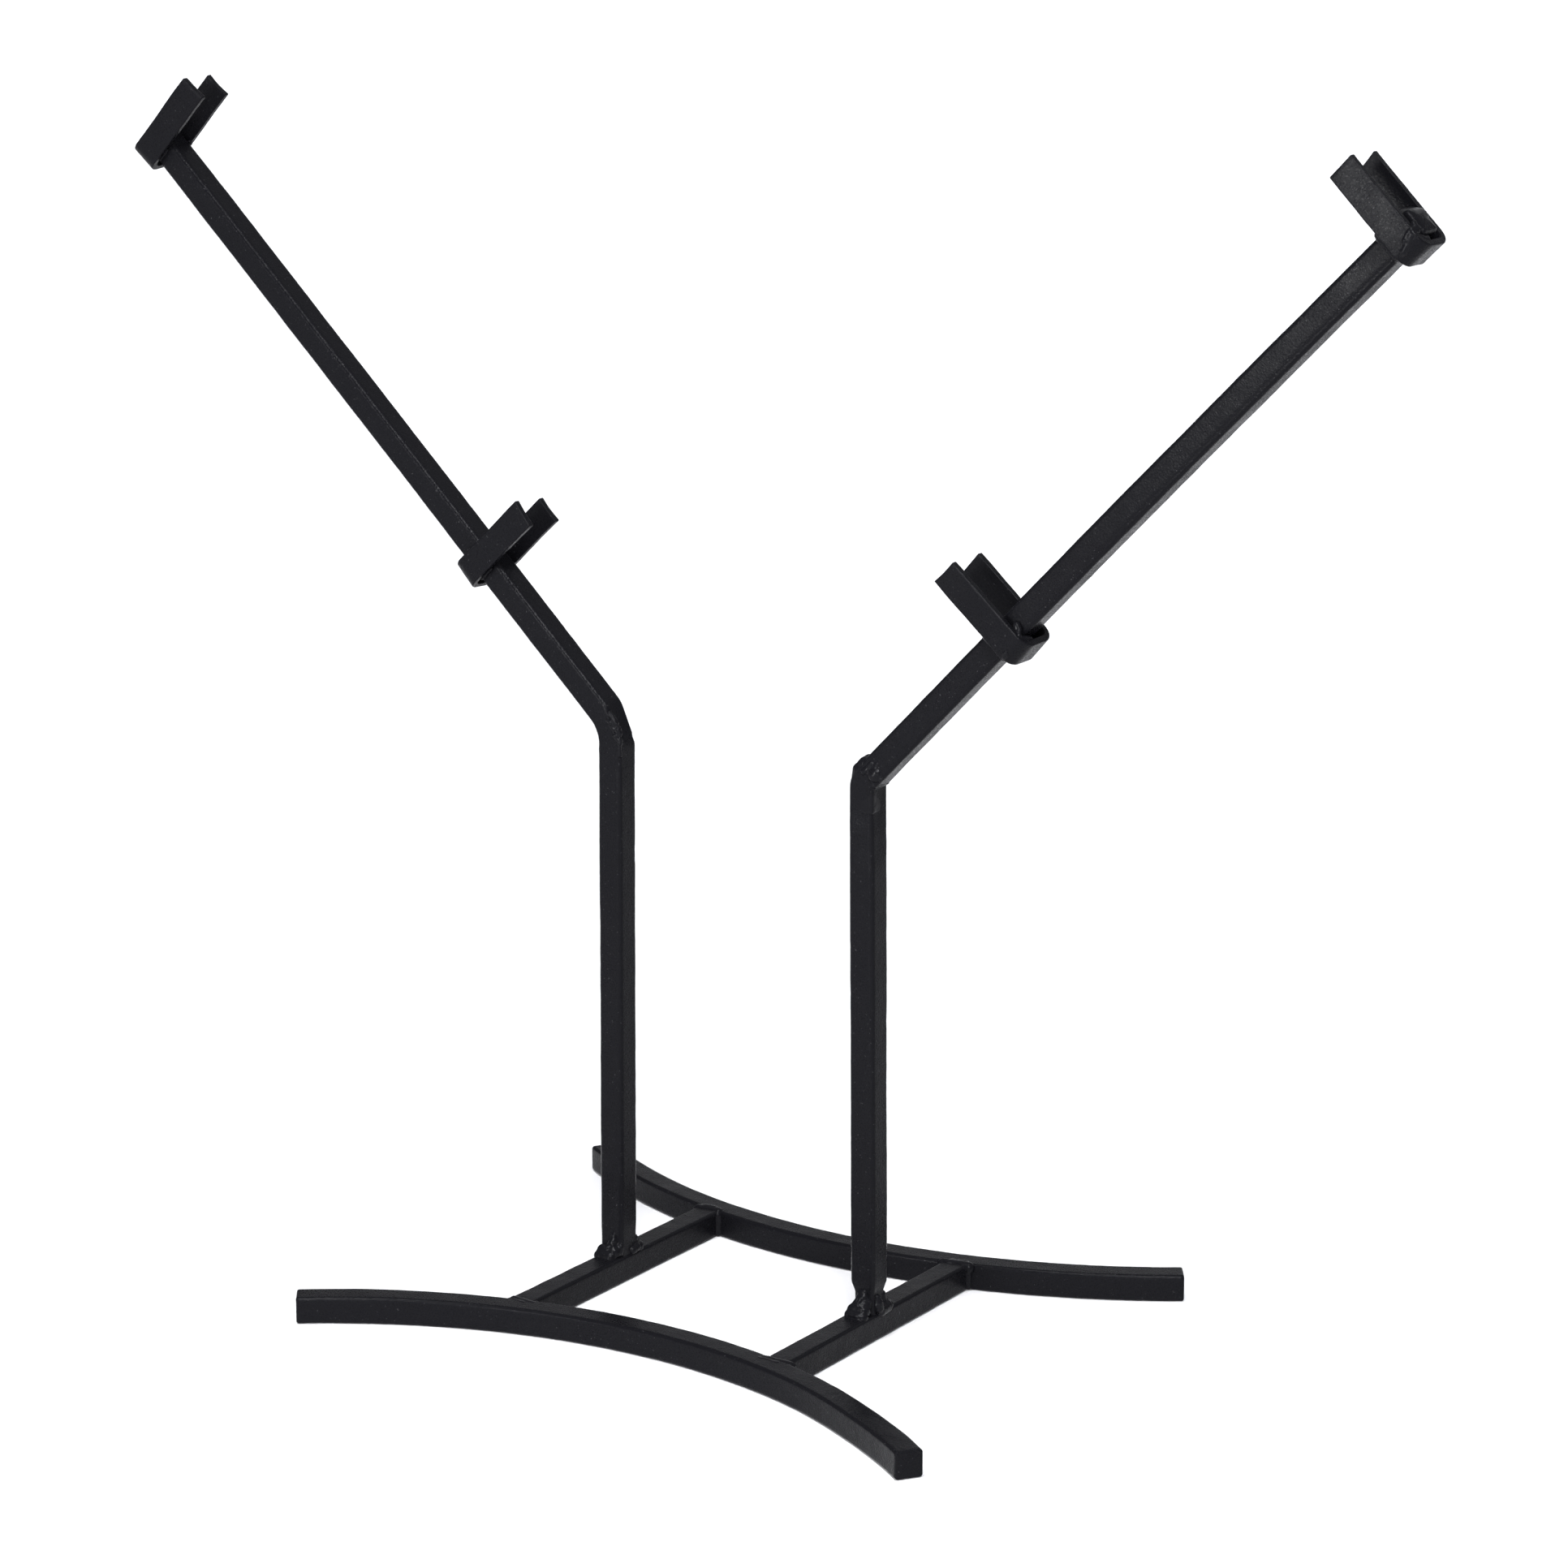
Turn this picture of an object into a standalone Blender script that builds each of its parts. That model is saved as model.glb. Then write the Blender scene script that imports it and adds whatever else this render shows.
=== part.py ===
"""A welded mug tree of square steel bar.

Two bowed rails lie on the table, two crossbars join them, and a post stands on each crossbar. An arm
leans outwards from the top of each post, and carries two U-shaped saddles of bent flat bar, whose
prongs point up and inwards and take a mug's handle. The frame is in metres, +X runs along the
rails towards the right post, +Y from the front rail to the rear rail, and +Z is up.
"""

import math

import bmesh
import bpy
from mathutils import Matrix, Vector

# ---------------------------------------------------------------- driving dimensions, metres
BAR = 0.0088  # side of the square bar
BAR_EDGE = 0.001  # radius of its rolled corners
STRAP_WIDTH = 0.0093  # flat bar of the saddles
STRAP_THICKNESS = 0.0021
STRAP_EDGE = 0.0003

RAIL_APEX_Y = 0.0496  # from the middle of the stand to a rail's centreline at its apex
RAIL_HALF_CHORD = 0.1154
RAIL_SHIFT = 0.0034  # the front rail sits this far to the right, the rear rail to the left
FRONT_RAIL_RADIUS = 0.192
REAR_RAIL_RADIUS = 0.208

FOOT_TAPER_HEIGHT = 0.004  # the posts' feet are chamfered for welding
FOOT_TAPER = 0.76

GAP = 0.0003  # clearance between touching pieces
WELD = 0.001  # thickness of the weld metal in a butt joint
WELD_CROWN = 0.0004  # how far a bead stands out of the bars it joins
JOINT = WELD + 2 * GAP  # space between two butt-welded bars

SADDLE_ROOM = 0.0016  # between the arm's sides and a saddle's prongs
TACK_HEIGHT = 0.0026  # the welds between a saddle's prongs and the arm
TACK_SHOWS = 0.0011  # how far they show beyond the edges of the strap
TACK_DROP = -0.0016
FOOT_BEAD_HEIGHT = 0.0076
FOOT_BEAD_REACH = 0.0046
FOOT_BEAD_WIDTH = 0.0066

# Each half of the stand is welded by hand, so the two differ a little.
# direction: the way the arm leans; post_x: the post's axis; elbow_z: where post and arm axes meet;
# lean: the arm's angle from vertical; proud: how far the post's top stands above the mitre;
# round: how much of the outer corner of the elbow is ground away; foot_shift and top_shift: how far
# the post's foot and top stand off its axis, because it leans a little.
SIDES = {
    "left": {"direction": -1, "post_x": -0.0492, "elbow_z": 0.1857, "lean": 46.0,
             "proud": 0.0, "round": 0.0019, "foot_shift": -0.0008, "top_shift": 0.0016},
    "right": {"direction": 1, "post_x": 0.0474, "elbow_z": 0.1806, "lean": 44.6,
              "proud": 0.0016, "round": 0.0007, "foot_shift": 0.0002, "top_shift": -0.0005},
}
# along: distance from the elbow up the arm; front and rear: prong lengths from the arm's axis;
# tilt: the prongs lean back towards the elbow; twist: the saddle is turned about its prongs;
# under: from the arm's axis down to the middle of the strap beneath it.
SADDLES = {
    "left_lower": {"along": 0.0678, "front": 0.0277, "rear": 0.0264, "tilt": 3.3, "twist": 1.0,
                   "under": 0.0062},
    "left_upper": {"along": 0.2497, "front": 0.0274, "rear": 0.0258, "tilt": 0.2, "twist": -6.0,
                   "under": 0.0068},
    "right_lower": {"along": 0.0733, "front": 0.0266, "rear": 0.0264, "tilt": 3.2, "twist": -1.5,
                    "under": 0.0071},
    "right_upper": {"along": 0.2511, "front": 0.0251, "rear": 0.0247, "tilt": -0.6, "twist": 1.4,
                    "under": 0.0071},
}

HALF = BAR / 2
STRAP_OFFSET = HALF + SADDLE_ROOM + STRAP_THICKNESS / 2  # from the arm's axis to the strap's middle
BEND_RADIUS = 0.0036  # to the middle of the strap
ARM_OVERRUN = STRAP_WIDTH / 2  # the arm ends flush with the outer edge of its upper saddle

RAIL_STEPS = 28
BEND_STEPS = 8

POWDER_BLACK = (0.016, 0.016, 0.018, 1.0)
WELD_BLACK = (0.014, 0.014, 0.016, 1.0)


# ---------------------------------------------------------------- scene, collections, materials
def clear_scene():
    for obj in list(bpy.data.objects):
        bpy.data.objects.remove(obj, do_unlink=True)


def new_collection(name):
    collection = bpy.data.collections.new(name)
    bpy.context.scene.collection.children.link(collection)
    return collection


def painted(name, colour, roughness):
    material = bpy.data.materials.new(name)
    material.use_nodes = True
    shader = material.node_tree.nodes["Principled BSDF"]
    shader.inputs["Base Color"].default_value = colour
    shader.inputs["Roughness"].default_value = roughness
    shader.inputs["Metallic"].default_value = 0.0
    return material


def add_object(name, data, collection, material=None, parent=None):
    obj = bpy.data.objects.new(name, data)
    collection.objects.link(obj)
    if material:
        data.materials.append(material)
    obj.parent = parent
    return obj


def bevel(obj, width, segments=2, angle=30.0):
    modifier = obj.modifiers.new("Rounded edges", "BEVEL")
    modifier.width = width
    modifier.segments = segments
    modifier.limit_method = "ANGLE"
    modifier.angle_limit = math.radians(angle)


def shade(mesh, angle=40.0):
    mesh.shade_smooth()
    mesh.set_sharp_from_angle(angle=math.radians(angle))


# ---------------------------------------------------------------- stock: bars and straps
def outline_object(name, points, half_thickness, material):
    """A flat plate in its own XY plane, from the outline of its face."""
    curve = bpy.data.curves.new(name, "CURVE")
    curve.dimensions = "2D"
    curve.fill_mode = "BOTH"
    curve.extrude = half_thickness
    spline = curve.splines.new("POLY")
    spline.points.add(len(points) - 1)
    for point, place in zip(spline.points, points):
        point.co = (place[0], place[1], 0, 1)
    spline.use_cyclic_u = True
    plate = add_object(name, curve, PARTS, material, STAND)
    weld = plate.modifiers.new("Closed caps", "WELD")
    weld.merge_threshold = 0.00002
    return plate


def box_mesh(name, size, centre=(0, 0, 0)):
    """A cuboid about centre, as a bmesh that the caller may cut before it becomes a mesh."""
    mesh = bpy.data.meshes.new(name)
    shape = bmesh.new()
    bmesh.ops.create_cube(shape, size=1.0)
    bmesh.ops.scale(shape, vec=size, verts=shape.verts)
    bmesh.ops.translate(shape, vec=centre, verts=shape.verts)
    return mesh, shape


def cut(shape, point, normal):
    """Removes what lies beyond a plane, on the side its normal points to, and closes the cut."""
    everything = shape.verts[:] + shape.edges[:] + shape.faces[:]
    made = bmesh.ops.bisect_plane(
        shape, geom=everything, plane_co=point, plane_no=normal, clear_outer=True
    )
    rim = [item for item in made["geom_cut"] if isinstance(item, bmesh.types.BMEdge)]
    bmesh.ops.contextual_create(shape, geom=rim)


def finish_mesh(mesh, shape):
    bmesh.ops.recalc_face_normals(shape, faces=shape.faces)
    shape.to_mesh(mesh)
    shape.free()
    return mesh


# ---------------------------------------------------------------- base: rails and crossbars
def rail_radius(side):
    return FRONT_RAIL_RADIUS if side < 0 else REAR_RAIL_RADIUS


def rail_point(side, x):
    """Centreline of a rail at x, for side -1 at the front and 1 at the rear, and its angle to X."""
    radius = rail_radius(side)
    offset = x + side * RAIL_SHIFT
    turn = math.asin(offset / radius)
    return side * (RAIL_APEX_Y + radius * (1 - math.cos(turn))), side * turn


def make_rail(name, side):
    """A bowed bar: the outline between two arcs, as thick as the bar."""
    middle = -side * RAIL_SHIFT
    inner, outer = [], []
    for step in range(RAIL_STEPS + 1):
        x = middle + RAIL_HALF_CHORD * (2 * step / RAIL_STEPS - 1)
        y, turn = rail_point(side, x)
        across = Vector((-math.sin(turn), math.cos(turn), 0)) * HALF
        inner.append(Vector((x, y, 0)) + across)
        outer.append(Vector((x, y, 0)) - across)
    rail = outline_object(name, inner + outer[::-1], HALF, BLACK)
    rail.location.z = HALF
    bevel(rail, BAR_EDGE, segments=3, angle=50.0)
    return rail


def rail_face(side, x):
    """A point on a rail's inner face at x, and that face's normal, pointing to the middle."""
    y, turn = rail_point(side, x)
    normal = Vector((math.sin(turn), -math.cos(turn), 0)) * side
    return Vector((x, y, HALF)) + normal * HALF, normal


def make_crossbar(name, x):
    mesh, shape = box_mesh(name, (BAR, 4 * RAIL_APEX_Y, BAR), (x, 0, HALF))
    for side in (-1, 1):
        point, normal = rail_face(side, x)
        cut(shape, point + normal * JOINT, -normal)
    bar = add_object(name, finish_mesh(mesh, shape), PARTS, BLACK, STAND)
    bevel(bar, BAR_EDGE, segments=3)
    shade(mesh)
    return bar


def make_rail_weld(name, side, x):
    """The weld metal between a rail's inner face and the end of a crossbar."""
    point, normal = rail_face(side, x)
    height = BAR + WELD_CROWN - GAP
    mesh, shape = box_mesh(name, (BAR + 2 * WELD_CROWN, WELD, height))
    bead = add_object(name, finish_mesh(mesh, shape), PARTS, BEAD, STAND)
    bead.location = point + normal * (JOINT / 2)
    bead.location.z = GAP + height / 2
    bead.rotation_euler.z = math.atan2(-normal.x, normal.y)
    bevel(bead, 0.00035)
    return bead


# ---------------------------------------------------------------- posts and arms
def lean_of(side):
    """The arm's direction, and the normal of its inner face, which points up and inwards."""
    angle = math.radians(side["lean"])
    along = Vector((side["direction"] * math.sin(angle), 0, math.cos(angle)))
    inner = Vector((-side["direction"] * math.cos(angle), 0, math.sin(angle)))
    return along, inner


def elbow_of(side):
    return Vector((side["post_x"], 0, side["elbow_z"]))


def mitre_of(side):
    """The mitre plane's middle and normal. It halves the angle between post and arm."""
    along, _ = lean_of(side)
    normal = (along + Vector((0, 0, 1))).normalized()
    return elbow_of(side) + normal * side["proud"], normal


def outer_corner_of(side):
    """The sharp outer corner of the elbow, and the direction out through it."""
    along, inner = lean_of(side)
    out = (inner - Vector((side["direction"], 0, 0))).normalized()
    half_turn = math.radians(side["lean"]) / 2
    return elbow_of(side) + out * (HALF / math.cos(half_turn)), out


def make_post(name, side):
    bottom = BAR + GAP
    top = side["elbow_z"] + 2 * BAR
    x = side["post_x"]
    mesh, shape = box_mesh(name, (BAR, BAR, top - bottom), (x, 0, (top + bottom) / 2))
    for vertex in shape.verts:
        vertex.co.x += side["foot_shift"] if vertex.co.z < top - BAR else side["top_shift"]
    middle, normal = mitre_of(side)
    cut(shape, middle - normal * (JOINT / 2), normal)
    # The outer corner is ground off along the line that halves the turn from post to mitre.
    corner, out = outer_corner_of(side)
    flat = (out - Vector((side["direction"], 0, 0))).normalized()
    cut(shape, corner - out * side["round"], flat)
    # The foot: a level ring of edges, and the bottom drawn in below it.
    ring = bottom + FOOT_TAPER_HEIGHT
    everything = shape.verts[:] + shape.edges[:] + shape.faces[:]
    bmesh.ops.bisect_plane(shape, geom=everything, plane_co=(0, 0, ring), plane_no=(0, 0, 1))
    for vertex in shape.verts:
        if vertex.co.z < ring - GAP:
            centre = x + side["foot_shift"]
            vertex.co.x = centre + (vertex.co.x - centre) * FOOT_TAPER
            vertex.co.y *= FOOT_TAPER
    post = add_object(name, finish_mesh(mesh, shape), PARTS, BLACK, STAND)
    bevel(post, BAR_EDGE, segments=3)
    shade(mesh)
    return post


def make_arm(name, side, length):
    """A bar built along +Z from the elbow, then leaned over. Its upper end is ground to a dome."""
    mesh, shape = box_mesh(name, (BAR, BAR, length + 2 * BAR), (0, 0, length / 2 - BAR))
    along, inner = lean_of(side)
    cross = inner.cross(along)
    turn = Matrix((inner, -cross, along)).transposed().to_4x4()
    place = Matrix.Translation(elbow_of(side)) @ turn
    back = place.inverted()
    middle, normal = mitre_of(side)
    cut(shape, back @ (middle + normal * (JOINT / 2)), back.to_3x3() @ -normal)
    corner, out = outer_corner_of(side)
    flat = (out + inner).normalized()
    cut(shape, back @ (corner - out * side["round"]), back.to_3x3() @ flat)
    tip = [e for e in shape.edges if all(v.co.z > length - GAP for v in e.verts)]
    bmesh.ops.bevel(shape, geom=tip, offset=0.0022, segments=3, affect="EDGES", profile=0.5)
    arm = add_object(name, finish_mesh(mesh, shape), PARTS, BLACK, STAND)
    arm.matrix_local = place
    bevel(arm, BAR_EDGE, segments=3)
    shade(mesh)
    return arm


def make_elbow_weld(name, side):
    """The weld metal in the mitre between post and arm."""
    middle, normal = mitre_of(side)
    half_turn = math.radians(side["lean"]) / 2
    across = BAR / math.cos(half_turn) + WELD_CROWN - side["round"]
    mesh, shape = box_mesh(name, (across, BAR + 2 * WELD_CROWN, WELD))
    bead = add_object(name, finish_mesh(mesh, shape), PARTS, BEAD, STAND)
    inwards = Vector((0, 1, 0)).cross(normal) * side["direction"]
    bead.location = middle + inwards * (side["round"] / 2)
    bead.rotation_euler.y = side["direction"] * half_turn
    bevel(bead, 0.00035)
    return bead


def make_foot_bead(name, side, facing):
    """A sloped bead on a crossbar, against the front or rear face of the post's foot."""
    height, reach = FOOT_BEAD_HEIGHT, FOOT_BEAD_REACH
    slope = ((0, 0), (reach, 0), (0.6 * reach, 0.24 * height), (0.34 * reach, 0.62 * height), (0, height))
    bead = outline_object(name, slope, FOOT_BEAD_WIDTH / 2, BEAD)
    # The outline's x runs away from the post and its y upwards.
    away = Vector((0, facing, 0))
    up = Vector((0, 0, 1))
    turn = Matrix((away, up, away.cross(up))).transposed().to_4x4()
    corner = (side["post_x"] + side["foot_shift"], facing * (HALF + GAP), BAR + GAP)
    bead.matrix_local = Matrix.Translation(corner) @ turn
    bevel(bead, 0.0009, segments=3, angle=25.0)
    return bead


# ---------------------------------------------------------------- saddles
def saddle_frame(side, saddle):
    """Where a saddle sits: x runs along the strap's width, y to the rear and z along the prongs."""
    along, inner = lean_of(side)
    rear = Vector((0, 1, 0))
    tilt, twist = math.radians(saddle["tilt"]), math.radians(saddle["twist"])
    width = along * math.cos(tilt) + inner * math.sin(tilt)
    prong = inner * math.cos(tilt) - along * math.sin(tilt)
    width, rear = (
        width * math.cos(twist) + rear * math.sin(twist),
        rear * math.cos(twist) - width * math.sin(twist),
    )
    turn = Matrix((width, prong.cross(width), prong)).transposed().to_4x4()
    flip = -1 if turn.col[1].to_3d().dot(rear) < 0 else 1
    return Matrix.Translation(elbow_of(side) + along * saddle["along"]) @ turn, flip


def strap_path(front, rear, under):
    """The middle of the strap in the saddle's y and z: down one prong, under the bar, up the other."""
    web = STRAP_OFFSET - BEND_RADIUS
    path = [(-STRAP_OFFSET, front)]
    for side, start in ((-1, 180), (1, 270)):
        for step in range(BEND_STEPS + 1):
            angle = math.radians(start + 90 * step / BEND_STEPS)
            y = side * web + BEND_RADIUS * math.cos(angle)
            path.append((y, BEND_RADIUS * (1 + math.sin(angle)) - under))
    path.append((STRAP_OFFSET, rear))
    return path


def make_saddle(name, side, saddle):
    place, flip = saddle_frame(side, saddle)
    mesh = bpy.data.meshes.new(name)
    shape = bmesh.new()
    rows = []
    for y, z in strap_path(saddle["front"], saddle["rear"], saddle["under"]):
        rows.append([shape.verts.new((sign * STRAP_WIDTH / 2, flip * y, z)) for sign in (-1, 1)])
    for low, high in zip(rows, rows[1:]):
        shape.faces.new((low[0], low[1], high[1], high[0]))
    strap = add_object(name, finish_mesh(mesh, shape), PARTS, BLACK, STAND)
    strap.matrix_local = place
    solidify = strap.modifiers.new("Flat bar", "SOLIDIFY")
    solidify.thickness = STRAP_THICKNESS
    solidify.offset = 0.0
    solidify.use_even_offset = True
    bevel(strap, STRAP_EDGE, segments=2, angle=50.0)
    shade(mesh)
    return strap


def make_tack(name, side, saddle, facing):
    """A weld in the gap between the arm's side and a prong, showing at both edges of the strap."""
    place, flip = saddle_frame(side, saddle)
    length = STRAP_WIDTH + 2 * TACK_SHOWS
    swing = length / 2 * math.sin(math.radians(abs(saddle["twist"])))
    thickness = SADDLE_ROOM - 2 * GAP - swing
    mesh, shape = box_mesh(name, (length, thickness, TACK_HEIGHT))
    tack = add_object(name, finish_mesh(mesh, shape), PARTS, BEAD, STAND)
    y = flip * facing * (HALF + SADDLE_ROOM - GAP - thickness / 2)
    tack.matrix_local = place @ Matrix.Translation((0, y, TACK_DROP))
    bevel(tack, 0.00015)
    return tack


# ---------------------------------------------------------------- the stand on its origin
def bounds(objects):
    graph = bpy.context.evaluated_depsgraph_get()
    places = []
    for obj in objects:
        evaluated = obj.evaluated_get(graph)
        mesh = evaluated.to_mesh()
        places += [evaluated.matrix_world @ vertex.co for vertex in mesh.vertices]
        evaluated.to_mesh_clear()
    low = Vector(min(place[axis] for place in places) for axis in range(3))
    high = Vector(max(place[axis] for place in places) for axis in range(3))
    return low, high


clear_scene()
PARTS = new_collection("Mug tree")
BLACK = painted("Textured black powder coat", POWDER_BLACK, 0.45)
BEAD = painted("Coated weld", WELD_BLACK, 0.3)
STAND = add_object("stand_origin", None, PARTS)

for rail_name, rail_side in (("front", -1), ("rear", 1)):
    make_rail(f"{rail_name}_rail", rail_side)

for side_name, side_data in SIDES.items():
    make_crossbar(f"{side_name}_crossbar", side_data["post_x"])
    make_post(f"{side_name}_post", side_data)
    arm_length = SADDLES[f"{side_name}_upper"]["along"] + ARM_OVERRUN
    make_arm(f"{side_name}_arm", side_data, arm_length)
    make_elbow_weld(f"{side_name}_elbow_weld", side_data)
    for end_name, facing_sign in (("front", -1), ("rear", 1)):
        make_rail_weld(f"{side_name}_{end_name}_rail_weld", facing_sign, side_data["post_x"])
        make_foot_bead(f"{side_name}_{end_name}_foot_bead", side_data, facing_sign)
    for level in ("lower", "upper"):
        saddle_name = f"{side_name}_{level}"
        make_saddle(f"{saddle_name}_saddle", side_data, SADDLES[saddle_name])
        for end_name, facing_sign in (("front", -1), ("rear", 1)):
            make_tack(f"{saddle_name}_{end_name}_tack", side_data, SADDLES[saddle_name], facing_sign)

# The origin is the middle of the stand's footprint, on the table.
bpy.context.view_layer.update()
lowest, highest = bounds([obj for obj in PARTS.objects if obj.type != "EMPTY"])
STAND.location = (-(lowest.x + highest.x) / 2, -(lowest.y + highest.y) / 2, -lowest.z)
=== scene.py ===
"""Looks for the mug tree: bars, straps and weld metal in textured black powder coat, on a pale floor."""

import math
import random

import bmesh
import bpy
from mathutils import Matrix, Vector, noise


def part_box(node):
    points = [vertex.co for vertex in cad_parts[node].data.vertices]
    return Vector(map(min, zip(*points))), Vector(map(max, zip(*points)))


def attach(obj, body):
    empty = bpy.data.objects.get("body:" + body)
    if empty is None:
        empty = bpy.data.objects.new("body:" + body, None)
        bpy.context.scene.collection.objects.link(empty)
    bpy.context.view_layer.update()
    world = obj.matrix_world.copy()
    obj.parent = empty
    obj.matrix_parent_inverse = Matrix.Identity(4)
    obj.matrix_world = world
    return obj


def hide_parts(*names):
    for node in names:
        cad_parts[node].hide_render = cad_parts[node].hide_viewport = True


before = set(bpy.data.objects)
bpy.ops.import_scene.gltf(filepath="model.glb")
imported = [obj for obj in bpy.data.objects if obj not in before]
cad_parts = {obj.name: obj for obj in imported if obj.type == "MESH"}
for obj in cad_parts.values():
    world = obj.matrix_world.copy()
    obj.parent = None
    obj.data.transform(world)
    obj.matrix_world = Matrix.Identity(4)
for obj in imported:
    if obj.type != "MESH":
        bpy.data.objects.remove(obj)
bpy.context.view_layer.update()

# ---------------------------------------------------------------- sizes, metres
MM = 0.001
BAR = 0.0089  # side of the square bar over its coat
HALF = BAR / 2
BAR_EDGE = 0.0011  # corner radius of the rails and crossbars
POST_EDGE = 0.0014  # corner radius of the posts and arms
STRAP_WIDTH = 0.0093
STRAP_THICKNESS = 0.0021
STRAP_EDGE = 0.0004
STRAP_END_EDGE = 0.00035
STRAP_OFFSET = 0.00705  # from the arm's axis to the middle of a prong
BEND_RADIUS = 0.0036  # of the strap's middle line

RAIL_APEX_Y = 0.0496  # from the middle to where each rail comes closest
RAIL_HALF_CHORD = 0.1154
RAIL_SHIFT = 0.0034  # the front rail lies this far to the right, the rear one to the left
RAIL_RADIUS = {-1: 0.192, 1: 0.208}  # front rail, rear rail
RAIL_END_EDGE = 0.0007
KINK_DEPTH, KINK_X, KINK_REACH = 0.0008, 0.092, 0.02  # the front rail swings out a little here
CROSSBAR_LAP = 0.001  # how far a crossbar runs into each rail
CROSSBAR_DROP = 0.00005  # how far its axis lies under the rails' axes
CROSSBAR_END_EDGE = 0.0003
FOOT_SINK = 0.0005  # how far a post runs into its crossbar
FOOT_LOW, FOOT_HIGH = 0.0066, 0.0100  # a foot is narrow up to the first height and full at the second
CREASE, CREASE_RUN = 0.00014, 0.01  # a fine crease along the right arm: its depth and its run-in

# The prongs were sheared off by hand, so their ends run a little out of square.
SHEAR_SLANT, SHEAR_HOLLOW = 0.0006, 0.0004
SHEAR_FROM, SHEAR_REACH = 0.015, 0.011  # the part of a prong's height that this moves

STEP = 0.0010  # between rings along a bar
CORNER_POINTS = 7
SIDE_SHARES = (0.05, 0.28, 0.5, 0.72, 0.95)  # points of a section between two of its corners
QUARTER_POINTS = CORNER_POINTS + len(SIDE_SHARES)
SHARPEST = 0.00005  # smallest corner radius
END_SHARES = (0.92, 0.66, 0.36, 0.05)  # sizes of the rings on the face of a bar's end
CROWN = 0.25  # how high that face is crowned, as a share of its rounded edge
PRONG_STEPS, BEND_STEPS, WEB_STEPS = 29, 12, 8
VOXEL = 0.00032  # mesh size of the weld metal
BEAD_SPACING = 0.45  # between the balls of a weld bead, in radii
CORE_EDGE = 1.0  # rounding of the cores inside the weld metal, in millimetres
CORE_INSET = 0.45  # how far the cores lie inside the bars, in millimetres
THIN = 2 * (HALF / MM - CORE_INSET)  # side of such a core
STRAP_INSET = 0.5  # how much narrower and thinner than the strap its core is, in millimetres

# Slow waves of each kind of surface: (size of the waves, height).
FINE_WAVES = ((0.007, 0.00007), (0.0022, 0.00003))
RAIL_WAVES = ((0.030, 0.00012), *FINE_WAVES)
CROSSBAR_WAVES = ((0.025, 0.00012), *FINE_WAVES)
POST_WAVES = ((0.040, 0.00014), *FINE_WAVES)
STRAP_WAVES = ((0.014, 0.00018), (0.005, 0.00008), (0.0018, 0.00003))
WELD_WAVE, WELD_RIPPLE = 0.0021, 0.0010  # sizes of the waves and the lower ripples on weld metal

# direction: the way the arm leans; post_x: the post's axis; elbow_z: where post and arm axes meet;
# lean: the arm's angle from vertical, in degrees; foot_shift and top_shift: the post leans a little;
# taper: the foot's width as a share of the bar's; bow: how far the arm bows at mid-length, towards its
# inner face; bend: the radius of the elbow's middle line; overrun: how far the arm runs past the middle
# of its upper saddle; dome: how far both ends of the bar are rounded.
SIDES = {
    "left": {"direction": -1, "post_x": -0.0492, "elbow_z": 0.1857, "lean": 46.0,
             "foot_shift": -0.0006, "top_shift": 0.0014, "taper": 0.98, "bow": 0.0002,
             "bend": 0.0150, "overrun": 0.0046, "dome": 0.0008},
    "right": {"direction": 1, "post_x": 0.0474, "elbow_z": 0.1806, "lean": 44.6,
              "foot_shift": 0.0003, "top_shift": -0.0003, "taper": 0.79, "bow": 0.0006,
              "bend": 0.0052, "overrun": 0.0060, "dome": 0.0016},
}
# along: from the elbow, along the arm; front and rear: how high the prongs reach above the arm's axis;
# tilt: turn in the plane of the stand, and twist: turn about the prongs, both in degrees; under: from
# the arm's axis down to the middle of the strap's web.
SADDLES = {
    "left_lower": {"along": 0.0678, "front": 0.0277, "rear": 0.0264, "tilt": 3.3, "twist": 1.0,
                   "under": 0.0062},
    "left_upper": {"along": 0.2497, "front": 0.0274, "rear": 0.0258, "tilt": 0.2, "twist": -6.0,
                   "under": 0.0068},
    "right_lower": {"along": 0.0733, "front": 0.0266, "rear": 0.0264, "tilt": 3.2, "twist": -1.5,
                    "under": 0.0071},
    "right_upper": {"along": 0.2511, "front": 0.0251, "rear": 0.0247, "tilt": -0.6, "twist": 1.4,
                    "under": 0.0071},
}

# The places above are from the point on the floor midway between the rails, which is found from the
# CAD's left crossbar and right arm.
crossbar_low, crossbar_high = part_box("left_crossbar")
arm_low, arm_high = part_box("right_arm")
MIDDLE = Vector((
    (crossbar_low.x + crossbar_high.x) / 2 - SIDES["left"]["post_x"],
    (arm_low.y + arm_high.y) / 2,
    0,
))
UP = Vector((0, 0, 1))
REAR = Vector((0, 1, 0))


# ---------------------------------------------------------------- materials
COAT = (0.0054, 0.0054, 0.0066, 1)
# Colour of the pale specks painted into the coat as glints: painted glints.
PAINTED_GLINT_COLOUR = (0.16, 0.16, 0.165, 1)
EDGE_POLISH = 0.19  # how much smoother the worn edges are
PEEL_SIZE = 0.0034  # size of the coat's waves
PATCH_SIZE = 0.011  # size of the parts where it is rougher or smoother
PAINTED_GLINT_SIZE = 0.0006  # size of the noise whose highest crests are pale specks painted into the colour as glints
DRIFT_SIZE, DRIFT = 2.4, 1.5  # how the bumps are pulled out of line: size and distance, in bump widths


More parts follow.
